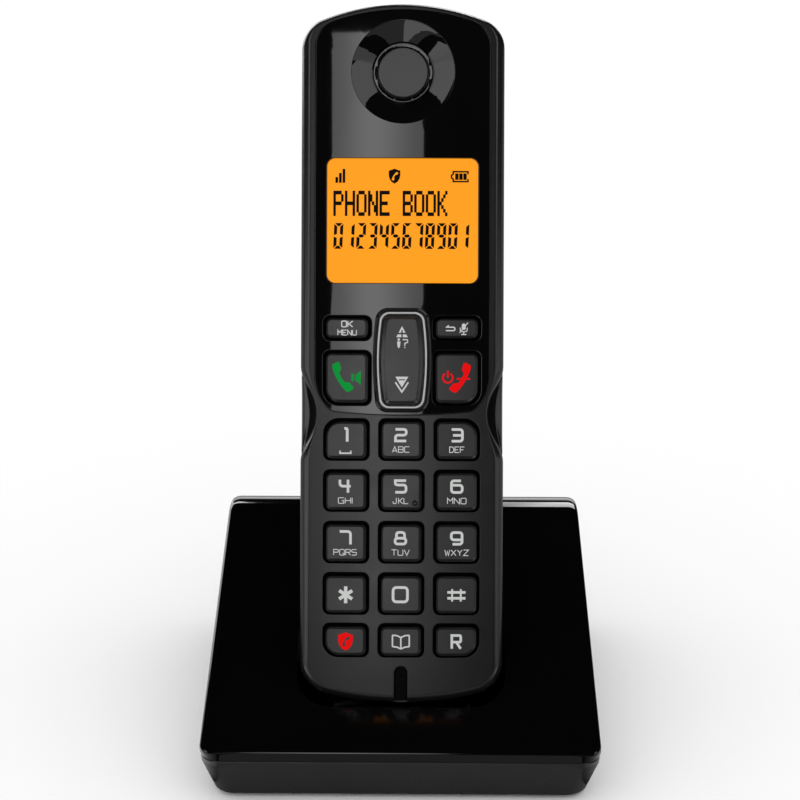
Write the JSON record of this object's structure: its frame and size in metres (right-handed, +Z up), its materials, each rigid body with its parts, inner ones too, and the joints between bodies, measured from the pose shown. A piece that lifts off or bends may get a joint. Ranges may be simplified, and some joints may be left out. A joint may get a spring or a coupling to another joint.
{
  "type": "cordless phone with base",
  "caption": "Cordless phone handset with an amber display, number keys and a navigation key, standing in a black wedge-shaped charging base.",
  "frame": {"origin": "centre of the base's footprint, on the surface it stands on", "axes": "+Z up, -Y towards the user, +X to the user's right"},
  "size_m": [0.0914, 0.0934, 0.1718],
  "materials": {
    "base_gloss": "high gloss moulded black",
    "base_dark": "fine spark-eroded texture",
    "foot_rubber": "matt",
    "screw_steel": "zinc plated",
    "circuit_board": "green solder resist",
    "tinned_shield": "tinned",
    "capacitor_sleeve": "shrink sleeve",
    "socket_black": "semi gloss",
    "socket_grey": "semi gloss",
    "gold_contact": "gold plated",
    "switch_black": "satin",
    "button_grey": "satin",
    "ivory_plastic": "satin",
    "nickel_contact": "nickel plated",
    "housing_matte": "fine texture",
    "handset_gloss": "high gloss",
    "fascia_gloss": "high gloss",
    "display_window": "amber backlit window",
    "display_glass": "polarised glass",
    "backlight_white": "diffuser",
    "silver_trim": "satin plated",
    "ear_cap_grey": "satin",
    "speaker_black": "frame and cone",
    "mat_rubber": "silicone",
    "dome_steel": "snap domes",
    "mic_can": "can",
    "tray_black": "moulded",
    "cell_wrap": "plain sleeve",
    "spring_steel": "nickel plated wire",
    "key_matte": "fine texture"
  },
  "bodies": {
    "base": {"base_top_shell": "base_gloss", "base_lower_housing": "base_dark", "rubber_feet": "foot_rubber", "base_screws": "screw_steel", "base_circuit_board": "circuit_board", "base_rf_shield": "tinned_shield", "base_capacitors": "capacitor_sleeve", "line_socket": "socket_black", "power_socket": "socket_grey", "socket_contacts": "gold_contact", "page_switch": "switch_black", "contact_holder": "ivory_plastic"},
    "page_button": {"page_button": "button_grey"},
    "contact_left": {"charge_contact_left": "nickel_contact"},
    "contact_right": {"charge_contact_right": "nickel_contact"},
    "handset": {"front_housing": "housing_matte", "rear_housing": "handset_gloss", "fascia": "fascia_gloss", "display_lens": "display_window", "lcd_glass": "display_glass", "backlight": "backlight_white", "nav_ring": "silver_trim", "ear_cap": "ear_cap_grey", "ear_speaker": "speaker_black", "keypad_mat": "mat_rubber", "key_domes": "dome_steel", "handset_circuit_board": "circuit_board", "handset_rf_shield": "tinned_shield", "microphone": "mic_can", "loudspeaker": "speaker_black", "battery_tray": "tray_black", "battery_cell_left": "cell_wrap", "battery_cell_right": "cell_wrap", "battery_springs": "spring_steel", "battery_terminals": "nickel_contact", "charging_pads": "nickel_contact", "handset_screws": "screw_steel"},
    "battery_door": {"battery_door": "handset_gloss"},
    "nav_rocker": {"nav_rocker": "key_matte"},
    "key_menu": {"key_menu": "key_matte"},
    "key_back": {"key_back": "key_matte"},
    "key_talk": {"key_talk": "key_matte"},
    "key_end": {"key_end": "key_matte"},
    "key_1": {"key_1": "key_matte"},
    "key_2": {"key_2": "key_matte"},
    "key_3": {"key_3": "key_matte"},
    "key_4": {"key_4": "key_matte"},
    "key_5": {"key_5": "key_matte"},
    "key_6": {"key_6": "key_matte"},
    "key_7": {"key_7": "key_matte"},
    "key_8": {"key_8": "key_matte"},
    "key_9": {"key_9": "key_matte"},
    "key_star": {"key_star": "key_matte"},
    "key_0": {"key_0": "key_matte"},
    "key_hash": {"key_hash": "key_matte"},
    "key_block": {"key_block": "key_matte"},
    "key_book": {"key_book": "key_matte"},
    "key_recall": {"key_recall": "key_matte"}
  },
  "joints": [
    {"name": "handset_lift", "type": "slide", "parent": "base", "child": "handset", "axis": [0, 0.342, 0.9397], "range_m": [0, 0.06]},
    {"name": "battery_door_slide", "type": "slide", "parent": "handset", "child": "battery_door", "axis": [0, 0.9397, -0.342], "range_m": [0, 0.009]},
    {"name": "nav_rock", "type": "hinge", "parent": "handset", "child": "nav_rocker", "pos_m": [0, -0.0026, 0.09208], "axis": [1, 0, 0], "range_deg": [-4, 4], "stiffness_Nm_per_rad": 0.02},
    {"name": "key_menu_press", "type": "slide", "parent": "handset", "child": "key_menu", "axis": [0, 0.9397, -0.342], "range_m": [0, 0.0008], "stiffness_N_per_m": 400, "springref_m": -0.0005},
    {"name": "key_back_press", "type": "slide", "parent": "handset", "child": "key_back", "axis": [0, 0.9397, -0.342], "range_m": [0, 0.0008], "stiffness_N_per_m": 400, "springref_m": -0.0005},
    {"name": "key_talk_press", "type": "slide", "parent": "handset", "child": "key_talk", "axis": [0, 0.9397, -0.342], "range_m": [0, 0.0008], "stiffness_N_per_m": 400, "springref_m": -0.0005},
    {"name": "key_end_press", "type": "slide", "parent": "handset", "child": "key_end", "axis": [0, 0.9397, -0.342], "range_m": [0, 0.0008], "stiffness_N_per_m": 400, "springref_m": -0.0005},
    {"name": "key_1_press", "type": "slide", "parent": "handset", "child": "key_1", "axis": [0, 0.9397, -0.342], "range_m": [0, 0.0008], "stiffness_N_per_m": 400, "springref_m": -0.0005},
    {"name": "key_2_press", "type": "slide", "parent": "handset", "child": "key_2", "axis": [0, 0.9397, -0.342], "range_m": [0, 0.0008], "stiffness_N_per_m": 400, "springref_m": -0.0005},
    {"name": "key_3_press", "type": "slide", "parent": "handset", "child": "key_3", "axis": [0, 0.9397, -0.342], "range_m": [0, 0.0008], "stiffness_N_per_m": 400, "springref_m": -0.0005},
    {"name": "key_4_press", "type": "slide", "parent": "handset", "child": "key_4", "axis": [0, 0.9397, -0.342], "range_m": [0, 0.0008], "stiffness_N_per_m": 400, "springref_m": -0.0005},
    {"name": "key_5_press", "type": "slide", "parent": "handset", "child": "key_5", "axis": [0, 0.9397, -0.342], "range_m": [0, 0.0008], "stiffness_N_per_m": 400, "springref_m": -0.0005},
    {"name": "key_6_press", "type": "slide", "parent": "handset", "child": "key_6", "axis": [0, 0.9397, -0.342], "range_m": [0, 0.0008], "stiffness_N_per_m": 400, "springref_m": -0.0005},
    {"name": "key_7_press", "type": "slide", "parent": "handset", "child": "key_7", "axis": [0, 0.9397, -0.342], "range_m": [0, 0.0008], "stiffness_N_per_m": 400, "springref_m": -0.0005},
    {"name": "key_8_press", "type": "slide", "parent": "handset", "child": "key_8", "axis": [0, 0.9397, -0.342], "range_m": [0, 0.0008], "stiffness_N_per_m": 400, "springref_m": -0.0005},
    {"name": "key_9_press", "type": "slide", "parent": "handset", "child": "key_9", "axis": [0, 0.9397, -0.342], "range_m": [0, 0.0008], "stiffness_N_per_m": 400, "springref_m": -0.0005},
    {"name": "key_star_press", "type": "slide", "parent": "handset", "child": "key_star", "axis": [0, 0.9397, -0.342], "range_m": [0, 0.0008], "stiffness_N_per_m": 400, "springref_m": -0.0005},
    {"name": "key_0_press", "type": "slide", "parent": "handset", "child": "key_0", "axis": [0, 0.9397, -0.342], "range_m": [0, 0.0008], "stiffness_N_per_m": 400, "springref_m": -0.0005},
    {"name": "key_hash_press", "type": "slide", "parent": "handset", "child": "key_hash", "axis": [0, 0.9397, -0.342], "range_m": [0, 0.0008], "stiffness_N_per_m": 400, "springref_m": -0.0005},
    {"name": "key_block_press", "type": "slide", "parent": "handset", "child": "key_block", "axis": [0, 0.9397, -0.342], "range_m": [0, 0.0008], "stiffness_N_per_m": 400, "springref_m": -0.0005},
    {"name": "key_book_press", "type": "slide", "parent": "handset", "child": "key_book", "axis": [0, 0.9397, -0.342], "range_m": [0, 0.0008], "stiffness_N_per_m": 400, "springref_m": -0.0005},
    {"name": "key_recall_press", "type": "slide", "parent": "handset", "child": "key_recall", "axis": [0, 0.9397, -0.342], "range_m": [0, 0.0008], "stiffness_N_per_m": 400, "springref_m": -0.0005},
    {"name": "page_press", "type": "slide", "parent": "base", "child": "page_button", "axis": [0, -1, 0], "range_m": [0, 0.001], "stiffness_N_per_m": 400, "springref_m": -0.0005},
    {"name": "contact_left_flex", "type": "hinge", "parent": "base", "child": "contact_left", "pos_m": [-0.009, -0.01276, 0.00568], "axis": [1, 0, 0], "range_deg": [0, 6], "stiffness_Nm_per_rad": 0.03, "springref_deg": -1.15},
    {"name": "contact_right_flex", "type": "hinge", "parent": "base", "child": "contact_right", "pos_m": [0.009, -0.01276, 0.00568], "axis": [1, 0, 0], "range_deg": [0, 6], "stiffness_Nm_per_rad": 0.03, "springref_deg": -1.15}
  ]
}
